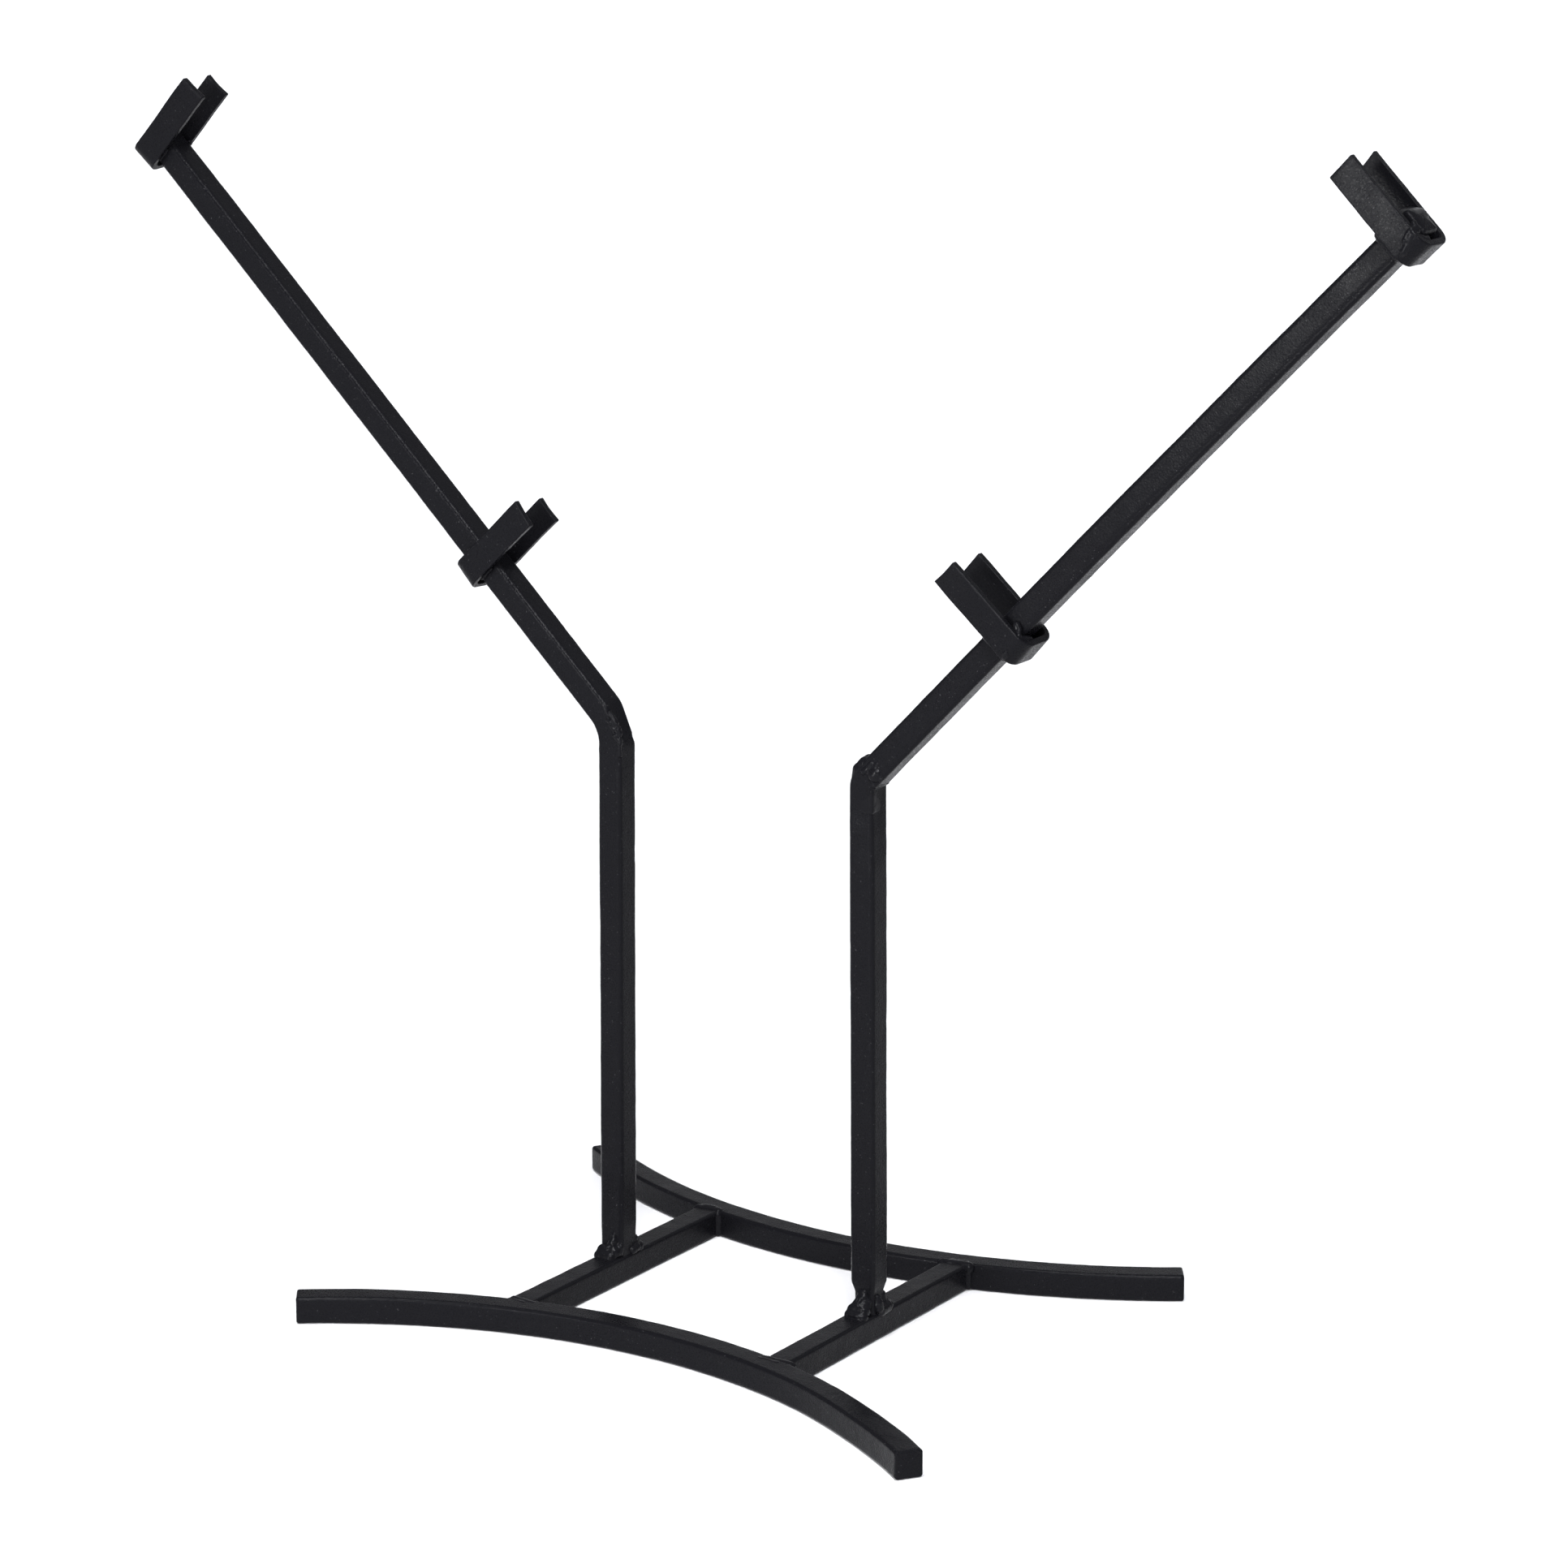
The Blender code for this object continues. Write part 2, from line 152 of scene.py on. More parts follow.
class Nodes:
    """Short ways to add shader nodes to a material."""

    def __init__(self, material):
        material.use_nodes = True
        self.tree = material.node_tree
        self.shader = self.tree.nodes["Principled BSDF"]
        self.place = self.tree.nodes.new("ShaderNodeTexCoord").outputs["Object"]

    def link(self, output, socket):
        self.tree.links.new(output, socket)

    def node(self, kind, **inputs):
        node = self.tree.nodes.new(kind)
        for name, value in inputs.items():
            socket = node.inputs[name.replace("_", " ")]
            if isinstance(value, bpy.types.NodeSocket):
                self.link(value, socket)
            else:
                socket.default_value = value
        return node

    def noise(self, size, detail=2.0):
        return self.node("ShaderNodeTexNoise", Vector=self.place, Scale=1 / size, Detail=detail)

    def ramp(self, value, low, high, to_low, to_high):
        node = self.node("ShaderNodeMapRange", Value=value, From_Min=low, From_Max=high,
                         To_Min=to_low, To_Max=to_high)
        return node.outputs["Result"]

    def times(self, value, factor, plus=0.0):
        node = self.tree.nodes.new("ShaderNodeMath")
        node.operation = "MULTIPLY_ADD"
        for socket, item in zip(node.inputs, (value, factor, plus)):
            if isinstance(item, bpy.types.NodeSocket):
                self.link(item, socket)
            else:
                socket.default_value = item
        return node.outputs[0]


def powder_coat(name, ior, roughness, sparkle, grain_size, grain, peel, glint_paint):
    """Textured powder coat. grain and peel are heights in millimetres of its bumps and its waves,
    grain_size is the width of a bump, sparkle is how much smoother small spots of it are, and the last
    argument is how much of the pale speck colour its painted glints take."""
    material = bpy.data.materials.new(name)
    nodes = Nodes(material)
    nodes.shader.inputs["IOR"].default_value = ior

    # Rounded bumps about grain_size across, pulled out of line, on gentle orange peel.
    drift = nodes.noise(DRIFT_SIZE * grain_size).outputs["Color"]
    scaled = nodes.tree.nodes.new("ShaderNodeVectorMath")
    scaled.operation = "SCALE"
    nodes.link(drift, scaled.inputs[0])
    scaled.inputs["Scale"].default_value = DRIFT * grain_size
    warped = nodes.tree.nodes.new("ShaderNodeVectorMath")
    nodes.link(nodes.place, warped.inputs[0])
    nodes.link(scaled.outputs[0], warped.inputs[1])
    cells = nodes.node("ShaderNodeTexVoronoi", Vector=warped.outputs[0], Scale=1 / grain_size)
    cells.feature = "SMOOTH_F1"
    fine = nodes.noise(0.4 * grain_size).outputs["Fac"]
    waves = nodes.noise(PEEL_SIZE).outputs["Fac"]
    # The coat lies smoother in some places than in others.
    patches = nodes.noise(PATCH_SIZE, 3.0).outputs["Fac"]
    cover = nodes.ramp(patches, 0.36, 0.62, 0.55, 1.15)
    edge = nodes.tree.nodes.new("ShaderNodeAttribute")
    edge.attribute_name = "edge"
    worn = nodes.times(edge.outputs["Fac"], nodes.ramp(patches, 0.40, 0.60, 0.3, 1.0))
    bumps = nodes.times(cells.outputs["Distance"], -grain, nodes.times(fine, 0.4 * grain))
    height = nodes.times(waves, peel, nodes.times(bumps, cover))
    relief = nodes.node("ShaderNodeBump", Height=height, Strength=1.0, Distance=MM)
    nodes.link(relief.outputs["Normal"], nodes.shader.inputs["Normal"])

    # Pale specks painted into the colour, standing in for glints: painted glints.
    painted_glint_mask = nodes.ramp(nodes.noise(PAINTED_GLINT_SIZE, 1.0).outputs["Fac"], 0.72, 0.79, 0.0, glint_paint)
    tint = nodes.tree.nodes.new("ShaderNodeMix")
    tint.data_type = "RGBA"
    tint.inputs["A"].default_value = COAT
    tint.inputs["B"].default_value = PAINTED_GLINT_COLOUR
    nodes.link(painted_glint_mask, tint.inputs["Factor"])
    nodes.link(tint.outputs["Result"], nodes.shader.inputs["Base Color"])
    # The gloss changes from patch to patch, and small spots and the worn edges are glossier.
    gloss = nodes.ramp(patches, 0.32, 0.66, roughness - 0.04, roughness + 0.05)
    glints = nodes.ramp(nodes.noise(0.8 * grain_size, 1.0).outputs["Fac"], 0.56, 0.66, 0.0, sparkle)
    gloss = nodes.times(glints, -1.0, gloss)
    gloss = nodes.times(worn, -EDGE_POLISH, gloss)
    nodes.link(gloss, nodes.shader.inputs["Roughness"])
    return material


BAR_COAT = powder_coat("bar_powder_coat", ior=1.13, roughness=0.33, sparkle=0.24,
                       grain_size=0.00058, grain=0.075, peel=0.08, glint_paint=0.22)
STRAP_COAT = powder_coat("strap_powder_coat", ior=1.13, roughness=0.32, sparkle=0.22,
                         grain_size=0.00062, grain=0.08, peel=0.10, glint_paint=0.20)
WELD_COAT = powder_coat("weld_powder_coat", ior=1.16, roughness=0.24, sparkle=0.08,
                        grain_size=0.00060, grain=0.030, peel=0.05, glint_paint=0.10)
GROUND_COAT = powder_coat("ground_weld_powder_coat", ior=1.40, roughness=0.34, sparkle=0.06,
                          grain_size=0.00060, grain=0.02, peel=0.05, glint_paint=0.10)


# ---------------------------------------------------------------- meshes
def section(width, height, radius, inset=0.0):
    """A rounded rectangle, anticlockwise, with points close beside each corner."""
    half_width, half_height = width / 2 - inset, height / 2 - inset
    radius = max(radius - inset, SHARPEST)
    corners = []
    for quarter, (x, y) in enumerate(((1, 1), (-1, 1), (-1, -1), (1, -1))):
        centre = Vector((x * (half_width - radius), y * (half_height - radius)))
        pitch = 90 / (CORNER_POINTS - 1)
        turns = [math.radians(90 * quarter + pitch * step) for step in range(CORNER_POINTS)]
        corner = [centre + Vector((math.cos(t), math.sin(t))) * radius for t in turns]
        top = CORNER_POINTS // 2
        corner[top] = (corner[top - 1] + corner[top + 1]) / 2  # worn a little flat
        corners.append(corner)
    points = []
    for corner, following in zip(corners, corners[1:] + corners[:1]):
        points += corner
        points += [corner[-1].lerp(following[0], share) for share in SIDE_SHARES]
    return points


def ring(origin, across, up, outline):
    """An outline placed in space."""
    return [origin + across * point.x + up * point.y for point in outline]


def rounded_end(origin, across, up, out, size, radius, edge):
    """Rings that round off the end of a bar, and close it with a slightly crowned face."""
    rings = []
    for step in range(1, 4):
        angle = math.radians(30 * step)
        outline = section(*size, radius, edge * (1 - math.cos(angle)))
        rings.append(ring(origin + out * edge * math.sin(angle), across, up, outline))
    outline = section(*size, radius, edge)
    for share in END_SHARES:
        crown = out * edge * (1 + CROWN * (1 - share * share))
        rings.append(ring(origin + crown, across, up, [point * share for point in outline]))
    return rings


def skin(name, rings):
    """A closed tube through rings of points, with the wear of its edges as the attribute "edge"."""
    count = len(rings[0])
    shape = bmesh.new()
    rows = [[shape.verts.new(point) for point in points] for points in rings]
    for low, high in zip(rows, rows[1:]):
        for i in range(count):
            j = (i + 1) % count
            shape.faces.new((low[i], low[j], high[j], high[i]))
    shape.faces.new(rows[0][::-1])
    shape.faces.new(rows[-1])
    bmesh.ops.recalc_face_normals(shape, faces=shape.faces)
    mesh = bpy.data.meshes.new(name)
    shape.to_mesh(mesh)
    shape.free()
    mesh.shade_smooth()
    # The wear of each point in a quarter of the section, from the corner's start.
    wear = (0, 0.5, 1, 1, 1, 0.5, 0) + (0,) * len(SIDE_SHARES)
    marks = mesh.attributes.new("edge", "FLOAT", "POINT")
    marks.data.foreach_set("value", [wear[i % QUARTER_POINTS] for i in range(len(mesh.vertices))])
    return mesh


def sweep(name, frames, size, radius, edge):
    """A bar along frames of (origin, across, up), with rounded ends."""
    outline = section(*size, radius)
    rings = [ring(*spot, outline) for spot in frames]
    start, end = frames[0], frames[-1]
    back = (start[0] - frames[1][0]).normalized()
    ahead = (end[0] - frames[-2][0]).normalized()
    head = rounded_end(*start, back, size, radius, edge)
    tail = rounded_end(*end, ahead, size, radius, edge)
    return skin(name, head[::-1] + rings + tail)


def roughen(mesh, layers, seed=0.0):
    """Moves the surface along its normals by noise. layers holds (size of the waves, height)."""
    shift = Vector((seed, 0.7 * seed, -seed))
    normals = [normal.vector.copy() for normal in mesh.vertex_normals]
    for vertex, normal in zip(mesh.vertices, normals):
        move = sum(height * noise.noise((vertex.co + shift) / size) for size, height in layers)
        vertex.co += normal * move


def dab(mesh, centre, reach, push):
    """Pushes the surface near a point, most at the point and not at all at reach."""
    for vertex in mesh.vertices:
        share = (vertex.co - centre).length / reach
        if share < 1:
            vertex.co += push * (1 - share * share) ** 2


def piece(name, mesh, material, slot, *nodes):
    """A visible piece that stands for the CAD nodes."""
    obj = bpy.data.objects.new(name, mesh)
    bpy.context.scene.collection.objects.link(obj)
    mesh.materials.append(material)
    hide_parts(*nodes)
    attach(obj, "root")
    return obj


def weld_metal(name, place, beads, cores, node, smooth, lumps, seed, coat=WELD_COAT):
    """Weld metal as one skin. beads holds (start, end, radius) and cores (middle, size, turn, axis of
    the turn), in millimetres and degrees in the frame of place. The cores are the bars it is welded to,
    a little too thin to show, so that smoothing leaves a fillet between them and the beads. smooth is
    how often it is smoothed, and lumps the height of its waves in metres."""
    shape = bmesh.new()
    for start, end, radius in beads:
        start, end = Vector(start), Vector(end)
        steps = max(1, math.ceil((end - start).length / (BEAD_SPACING * radius)))
        for step in range(steps + 1):
            spot = Matrix.Translation(start.lerp(end, step / steps))
            bmesh.ops.create_icosphere(shape, subdivisions=2, radius=radius, matrix=spot)
    for middle, size, turn, axis in cores:
        block = bmesh.ops.create_cube(shape, size=1.0, matrix=Matrix.Diagonal((*size, 1)))
        rims = list({rim for vertex in block["verts"] for rim in vertex.link_edges})
        rounded = bmesh.ops.bevel(shape, geom=rims, offset=CORE_EDGE, segments=3, profile=0.5,
                                  affect="EDGES", clamp_overlap=True)
        points = {vertex for face in rounded["faces"] for vertex in face.verts}
        turned = Matrix.Translation(middle) @ Matrix.Rotation(math.radians(turn), 4, axis)
        bmesh.ops.transform(shape, matrix=turned, verts=list(points))
    bmesh.ops.transform(shape, matrix=place @ Matrix.Scale(MM, 4), verts=shape.verts)
    draft = bpy.data.meshes.new("draft")
    shape.to_mesh(draft)
    shape.free()
    clay = bpy.data.objects.new("draft", draft)
    bpy.context.scene.collection.objects.link(clay)
    wrap = clay.modifiers.new("skin", "REMESH")
    wrap.mode = "VOXEL"
    wrap.voxel_size = VOXEL
    relax = clay.modifiers.new("relax", "SMOOTH")
    relax.factor = 0.5
    relax.iterations = smooth
    graph = bpy.context.evaluated_depsgraph_get()
    mesh = bpy.data.meshes.new_from_object(clay.evaluated_get(graph))
    bpy.data.objects.remove(clay)
    bpy.data.meshes.remove(draft)
    mesh.name = name
    mesh.shade_smooth()
    roughen(mesh, ((WELD_WAVE, lumps), (WELD_RIPPLE, 0.5 * lumps)), seed)
    return piece(name, mesh, coat, "weld_coat", node)


# ---------------------------------------------------------------- base
def rail_at(side, x):
    """A rail's centreline at x from the middle, and its direction. side is -1 for the front rail."""
    radius = RAIL_RADIUS[side]
    turn = math.asin((x + side * RAIL_SHIFT) / radius)
    y = side * (RAIL_APEX_Y + radius * (1 - math.cos(turn)))
    if side < 0:
        y -= KINK_DEPTH * math.exp(-(((x - KINK_X) / KINK_REACH) ** 2))
    return Vector((x, y, HALF)) + MIDDLE, Vector((math.cos(turn), side * math.sin(turn), 0))


def make_rail(name, side, longer_left, longer_right):
    """longer_left and longer_right: how much further than the half chord the ends are."""
    low = -side * RAIL_SHIFT - RAIL_HALF_CHORD - longer_left + RAIL_END_EDGE
    high = -side * RAIL_SHIFT + RAIL_HALF_CHORD + longer_right - RAIL_END_EDGE
    steps = int((high - low) / STEP)
    frames = []
    for step in range(steps + 1):
        origin, along = rail_at(side, low + (high - low) * step / steps)
        frames.append((origin, UP.cross(along), UP))
    mesh = sweep(f"{name}_bar", frames, (BAR, BAR), BAR_EDGE, RAIL_END_EDGE)
    roughen(mesh, RAIL_WAVES, 0.05 * side)
    return piece(f"{name}_bar", mesh, BAR_COAT, "bar_coat", name)


def make_crossbar(name, side):
    """Runs into both rails, whose weld metal covers the joints."""
    x = side["post_x"]
    start = rail_at(-1, x)[0].y + HALF - CROSSBAR_LAP
    end = rail_at(1, x)[0].y - HALF + CROSSBAR_LAP
    steps = int((end - start) / STEP)
    frames = []
    for step in range(steps + 1):
        y = start + (end - start) * step / steps
        origin = Vector((x + MIDDLE.x, y, HALF - CROSSBAR_DROP))
        frames.append((origin, Vector((-1, 0, 0)), UP))
    mesh = sweep(f"{name}_bar", frames, (BAR, BAR), BAR_EDGE, CROSSBAR_END_EDGE)
    roughen(mesh, CROSSBAR_WAVES, x)
    return piece(f"{name}_bar", mesh, BAR_COAT, "bar_coat", name)


# Beads along the top of each joint between a crossbar and a rail, as (start, end, radius) in
# millimetres from the point where the crossbar's middle line meets the rail's face, at the level of
# the tops. +Y runs from the crossbar into the rail and Z up.
RAIL_WELDS = {
    "left_front": (
        ((-4.4, 0.6, -1.6), (3.6, -0.2, -1.7), 1.9), ((-2.0, 2.0, -1.5), (2.5, 1.8, -1.6), 1.7),
    ),
    "right_front": (
        ((-4.6, 0.4, -1.6), (5.2, 0.6, -1.5), 1.9), ((-1.0, 2.4, -1.5), (6.4, 2.0, -1.6), 1.8),
    ),
    "left_rear": (
        ((-3.8, -0.4, -1.2), (3.8, 0.4, -1.2), 2.0), ((-2.5, 0.6, -0.9), (1.5, 0.8, -0.8), 1.8),
    ),
    "right_rear": (
        ((-4.2, -0.6, -1.3), (4.6, 1.0, -1.3), 2.1), ((-2.0, 1.0, -1.0), (3.0, 1.8, -0.9), 1.7),
    ),
}
CORNER_BEAD = 1.3  # radius of the bead down each side of such a joint, in millimetres
CORNER_BEAD_TOP, CORNER_BEAD_FOOT = -1.4, -7.6  # its ends, under the level of the tops


def make_rail_weld(name, side, facing):
    """facing is -1 at the front and 1 at the rear, as for the rails."""
    point, along = rail_at(facing, side["post_x"])
    angle = math.atan2(along.y, along.x)
    point.y -= facing * HALF / math.cos(angle)
    point.z = BAR
    place = Matrix.Translation(point) @ Matrix.Rotation(0 if facing > 0 else math.pi, 4, "Z")
    half = HALF / MM
    beads = list(RAIL_WELDS[name])
    for sign in (-1, 1):
        spot = (sign * (half - 0.1), sign * half * math.tan(angle) + 0.1)
        beads.append(((*spot, CORNER_BEAD_TOP), (*spot, CORNER_BEAD_FOOT), CORNER_BEAD))
    rail_core = ((0, half / math.cos(angle), -half), (24, THIN, THIN), math.degrees(angle), "Z")
    crossbar_core = ((0, -4.0, -half), (THIN, 11.0, THIN), 0, "Z")
    return weld_metal(f"{name}_rail_weld_metal", place, beads, (rail_core, crossbar_core),
                      f"{name}_rail_weld", smooth=7, lumps=0.00010,
                      seed=0.3 * facing + side["post_x"])


# ---------------------------------------------------------------- posts and arms
def lean_of(side):
    """The arm's direction, and the normal of its inner face, which points up and inwards."""
    angle = math.radians(side["lean"])
    along = Vector((side["direction"] * math.sin(angle), 0, math.cos(angle)))
    inner = Vector((-side["direction"] * math.cos(angle), 0, math.sin(angle)))
    return along, inner


def elbow_of(side):
    return Vector((side["post_x"], 0, side["elbow_z"])) + MIDDLE


def make_post_and_arm(name, side, length):
    """One bent bar: up the post, round the elbow and along the arm. Returns its mesh and the point
    where the axes of post and arm meet."""
    along, inner = lean_of(side)
    elbow = elbow_of(side)
    foot = Vector((side["post_x"] + side["foot_shift"], 0, BAR - FOOT_SINK)) + MIDDLE
    top = elbow + Vector((side["top_shift"], 0, 0))
    rise = (top - foot).normalized()
    tip = elbow + along * (length - side["dome"])
    lean = rise.angle(along)
    reach = side["bend"] * math.tan(lean / 2)
    start, end = top - rise * reach, top + along * reach
    hinge = start + side["direction"] * REAR.cross(rise) * side["bend"]
    steps = int((start - foot).length / STEP)
    spots = [(foot.lerp(start, step / steps), rise) for step in range(steps)]
    steps = max(6, int(side["bend"] * lean / (0.6 * STEP)))
    for step in range(steps + 1):
        turn = Matrix.Rotation(side["direction"] * lean * step / steps, 3, "Y")
        spots.append((hinge + turn @ (start - hinge), turn @ rise))
    steps = int((tip - end).length / STEP)
    for step in range(1, steps + 1):
        share = step / steps
        bow = inner * side["bow"] * math.sin(math.pi * share)
        spots.append((end.lerp(tip, share) + bow, (tip - end).normalized()))
    frames = [(origin, REAR.cross(ahead), REAR) for origin, ahead in spots]
    mesh = sweep(f"{name}_post_and_arm", frames, (BAR, BAR), POST_EDGE, side["dome"])
    if side["direction"] > 0:  # a fine crease along the right arm, where its lower front corner starts
        for vertex in list(mesh.vertices)[3 * QUARTER_POINTS :: 4 * QUARTER_POINTS]:
            vertex.co.y += CREASE * min(1.0, max(0.0, (vertex.co.z - elbow.z) / CREASE_RUN))
    for vertex in mesh.vertices:
        share = (vertex.co.z - BAR - FOOT_LOW) / (FOOT_HIGH - FOOT_LOW)
        if share < 1:
            narrow = side["taper"] + (1 - side["taper"]) * max(0.0, share)
            vertex.co.x = foot.x + (vertex.co.x - foot.x) * narrow
            vertex.co.y = foot.y + (vertex.co.y - foot.y) * narrow
    return mesh, elbow


# Lumps on each elbow, in millimetres from where the bars' axes meet: (start, end, radius).
ELBOW_BEADS = {
    "left": (
        ((0.2, -4.0, 4.4), (1.6, -4.0, 3.3), 0.9), ((2.0, -3.9, 2.6), (2.5, -3.8, 1.4), 1.0),
        ((-0.6, -4.1, 2.2), (0.6, -4.1, 1.6), 0.75), ((0.9, -4.1, 0.2), (1.8, -4.1, -0.6), 0.8),
        ((3.2, -3.6, -0.4), (3.6, -3.5, -1.8), 1.1), ((2.2, -4.1, -2.6), (3.0, -4.0, -3.4), 0.8),
        ((3.7, -3.7, -3.6), (3.8, -3.6, -5.0), 1.0), ((3.8, -3.8, -6.6), (3.8, -3.8, -8.8), 0.8),
        ((1.8, -4.1, 0.6), (2.0, -4.1, 0.8), 0.7),
    ),
    "right": (
        ((5.0, -3.3, 2.9), (5.3, -3.1, 3.5), 2.6), ((5.4, -3.7, 5.8), (6.2, -3.5, 7.0), 1.2),
        ((2.8, -3.8, 5.2), (4.0, -3.7, 6.8), 1.1), ((1.2, -4.1, 3.6), (2.1, -4.1, 4.3), 1.1),
        ((-1.9, -2.0, 1.0), (-1.5, -2.0, 3.5), 2.5), ((-1.5, -2.0, 3.5), (0.5, -2.0, 5.7), 2.4),
        ((-1.9, 2.0, 1.0), (-1.5, 2.0, 3.5), 2.5), ((-1.5, 2.0, 3.5), (0.5, 2.0, 5.7), 2.4),
        ((-1.8, 0.0, 1.0), (-1.4, 0.0, 3.6), 2.6), ((-1.4, 0.0, 3.6), (0.6, 0.0, 5.8), 2.6),
        ((4.5, -3.4, -0.3), (4.5, 3.2, -0.5), 1.15), ((7.0, -4.0, 1.9), (7.8, -3.9, 2.3), 0.8),
    ),
}


def make_elbow_weld(name, side, elbow):
    if name == "left":  # only drops of spatter lie on this elbow, whose bend was ground smooth
        cores, smooth, lumps = (), 2, 0.00020
    else:
        along, _ = lean_of(side)
        post_core = ((0, 0, -6.0), (THIN, THIN, 8), 0, "Z")
        arm_core = (tuple(along * 6.5), (THIN, THIN, 9), side["direction"] * side["lean"], "Y")
        cores, smooth, lumps = (post_core, arm_core), 9, 0.00008
    place = Matrix.Translation(elbow + Vector((side["top_shift"], 0, 0)))
    return weld_metal(f"{name}_elbow_weld_metal", place, ELBOW_BEADS[name], cores,
                      f"{name}_elbow_weld", smooth, lumps, seed=0.4 * side["direction"])


# Weld metal at each foot, as (start, end, radius) in millimetres from the middle of the post at the
# crossbar's top.
FOOT_BEADS = {
    "left_front": (
        ((-2.4, -7.2, 0.1), (1.8, -7.0, 0.2), 2.1), ((-1.8, -5.6, 1.4), (2.0, -5.3, 1.6), 2.5),
        ((0.7, -5.0, 3.4), (1.2, -4.6, 5.0), 1.6), ((1.0, -4.4, 5.0), (1.3, -4.0, 7.0), 1.2),
        ((3.3, -4.2, 1.0), (3.5, -3.9, 3.2), 1.3), ((0.0, -7.0, 3.3), (0.5, -6.9, 3.3), 0.8),
        ((2.1, -6.4, 3.2), (2.3, -6.2, 3.4), 0.8),
    ),
    "left_rear": (
        ((-2.6, 6.2, 0.4), (3.0, 6.0, 0.4), 2.3), ((-1.5, 4.8, 2.0), (2.8, 4.8, 2.0), 1.9),
        ((4.3, 1.6, 0.6), (4.5, 3.6, 1.2), 1.5), ((3.2, 4.2, 2.6), (3.4, 4.0, 4.0), 1.3),
    ),
    "right_front": (
        ((-2.2, -7.4, 0.1), (2.0, -7.2, 0.2), 2.1), ((-1.6, -5.9, 1.6), (1.4, -5.6, 1.8), 2.5),
        ((-0.9, -4.8, 3.4), (0.9, -4.6, 3.6), 2.0), ((-0.6, -4.0, 5.0), (0.6, -3.9, 5.6), 1.7),
        ((-0.6, -3.6, 6.8), (0.5, -3.5, 7.2), 1.3), ((-1.8, -8.9, 1.1), (1.6, -8.7, 1.0), 0.7),
        ((0.0, -6.6, 3.9), (0.3, -5.8, 5.2), 0.8), ((2.4, -4.4, 2.0), (2.3, -3.8, 4.2), 1.2),
    ),
    "right_rear": (
        ((3.5, -0.8, 4.4), (3.6, -0.6, 5.2), 1.1), ((3.9, -0.6, 1.6), (3.7, -0.4, 3.4), 1.7),
        ((3.4, 1.0, 0.4), (3.2, 4.6, 0.6), 2.4), ((2.8, 3.2, 2.4), (2.4, 3.2, 4.8), 1.6),
        ((-2.4, 6.0, 0.4), (2.8, 6.0, 0.4), 2.2), ((-1.6, 4.4, 2.4), (2.0, 4.4, 2.4), 2.0),
    ),
}


def make_foot_weld(name, end, side):
    place = Matrix.Translation(Vector((side["post_x"] + side["foot_shift"], 0, BAR)) + MIDDLE)
    narrow = side["taper"] * THIN
    crossbar_core = ((-side["foot_shift"] / MM, 0, -HALF / MM), (THIN, 24, THIN), 0, "Z")
    post_core = ((0, 0, 3.0), (narrow, narrow, 8.0), 0, "Z")
    return weld_metal(f"{name}_{end}_foot_weld_metal", place, FOOT_BEADS[f"{name}_{end}"],
                      (crossbar_core, post_core), f"{name}_{end}_foot_bead",
                      smooth=8, lumps=0.00012, seed=side["post_x"] + len(end))


# ---------------------------------------------------------------- saddles
def saddle_place(side, saddle):
    """x runs along the strap's width, towards the arm's tip, y to the rear and z along the prongs."""
    along, inner = lean_of(side)
    tilt, twist = math.radians(saddle["tilt"]), math.radians(saddle["twist"])
    width = along * math.cos(tilt) + inner * math.sin(tilt)
    prong = inner * math.cos(tilt) - along * math.sin(tilt)
    across = width * math.cos(twist) + REAR * math.sin(twist)
    rear = REAR * math.cos(twist) - width * math.sin(twist)
    turn = Matrix((across, rear, prong)).transposed().to_4x4()
    return Matrix.Translation(elbow_of(side) + along * saddle["along"]) @ turn


def strap_path(saddle):
    """The strap's middle line, down the front prong and up the rear one, as (y, z, angle in degrees
    that its outer face looks to)."""
    web = STRAP_OFFSET - BEND_RADIUS
    bend_z = BEND_RADIUS - saddle["under"]
    front, rear = saddle["front"] - STRAP_END_EDGE, saddle["rear"] - STRAP_END_EDGE
    path = []
    for step in range(PRONG_STEPS):
        path.append((-STRAP_OFFSET, front + (bend_z - front) * step / PRONG_STEPS, 180))
    for sign, start in ((-1, 180), (1, 270)):
        for step in range(BEND_STEPS + 1):
            angle = start + 90 * step / BEND_STEPS
            turn = math.radians(angle)
            y = sign * web + BEND_RADIUS * math.cos(turn)
            path.append((y, bend_z + BEND_RADIUS * math.sin(turn), angle))
        if sign < 0:
            for step in range(1, WEB_STEPS):
                path.append((web * (2 * step / WEB_STEPS - 1), -saddle["under"], 270))
    for step in range(1, PRONG_STEPS + 1):
        path.append((STRAP_OFFSET, bend_z + (rear - bend_z) * step / PRONG_STEPS, 360))
    return path


def make_saddle(name, side, saddle):
    place = saddle_place(side, saddle)
    width, rear, prong = (place.col[axis].to_3d() for axis in range(3))
    frames = []
    for y, z, angle in strap_path(saddle):
        turn = math.radians(angle)
        outward = rear * math.cos(turn) + prong * math.sin(turn)
        frames.append((place.translation + rear * y + prong * z, width, outward))
    size = (STRAP_WIDTH, STRAP_THICKNESS)
    mesh = sweep(f"{name}_strap", frames, size, STRAP_EDGE, STRAP_END_EDGE)
    chance = random.Random(name)
    for sign in (-1, 1):
        slant = chance.uniform(-SHEAR_SLANT, SHEAR_SLANT)
        hollow = chance.uniform(0.0, SHEAR_HOLLOW)
        for vertex in mesh.vertices:
            local = vertex.co - place.translation
            z = local.dot(prong)
            if local.dot(rear) * sign > 0 and z > SHEAR_FROM:
                share = local.dot(width) / (STRAP_WIDTH / 2)
                rise = slant * share - hollow * (1 - share * share)
                vertex.co += prong * rise * (z - SHEAR_FROM) / SHEAR_REACH
    roughen(mesh, STRAP_WAVES, 0.3)
    return piece(f"{name}_strap", mesh, STRAP_COAT, "strap_coat", f"{name}_saddle")


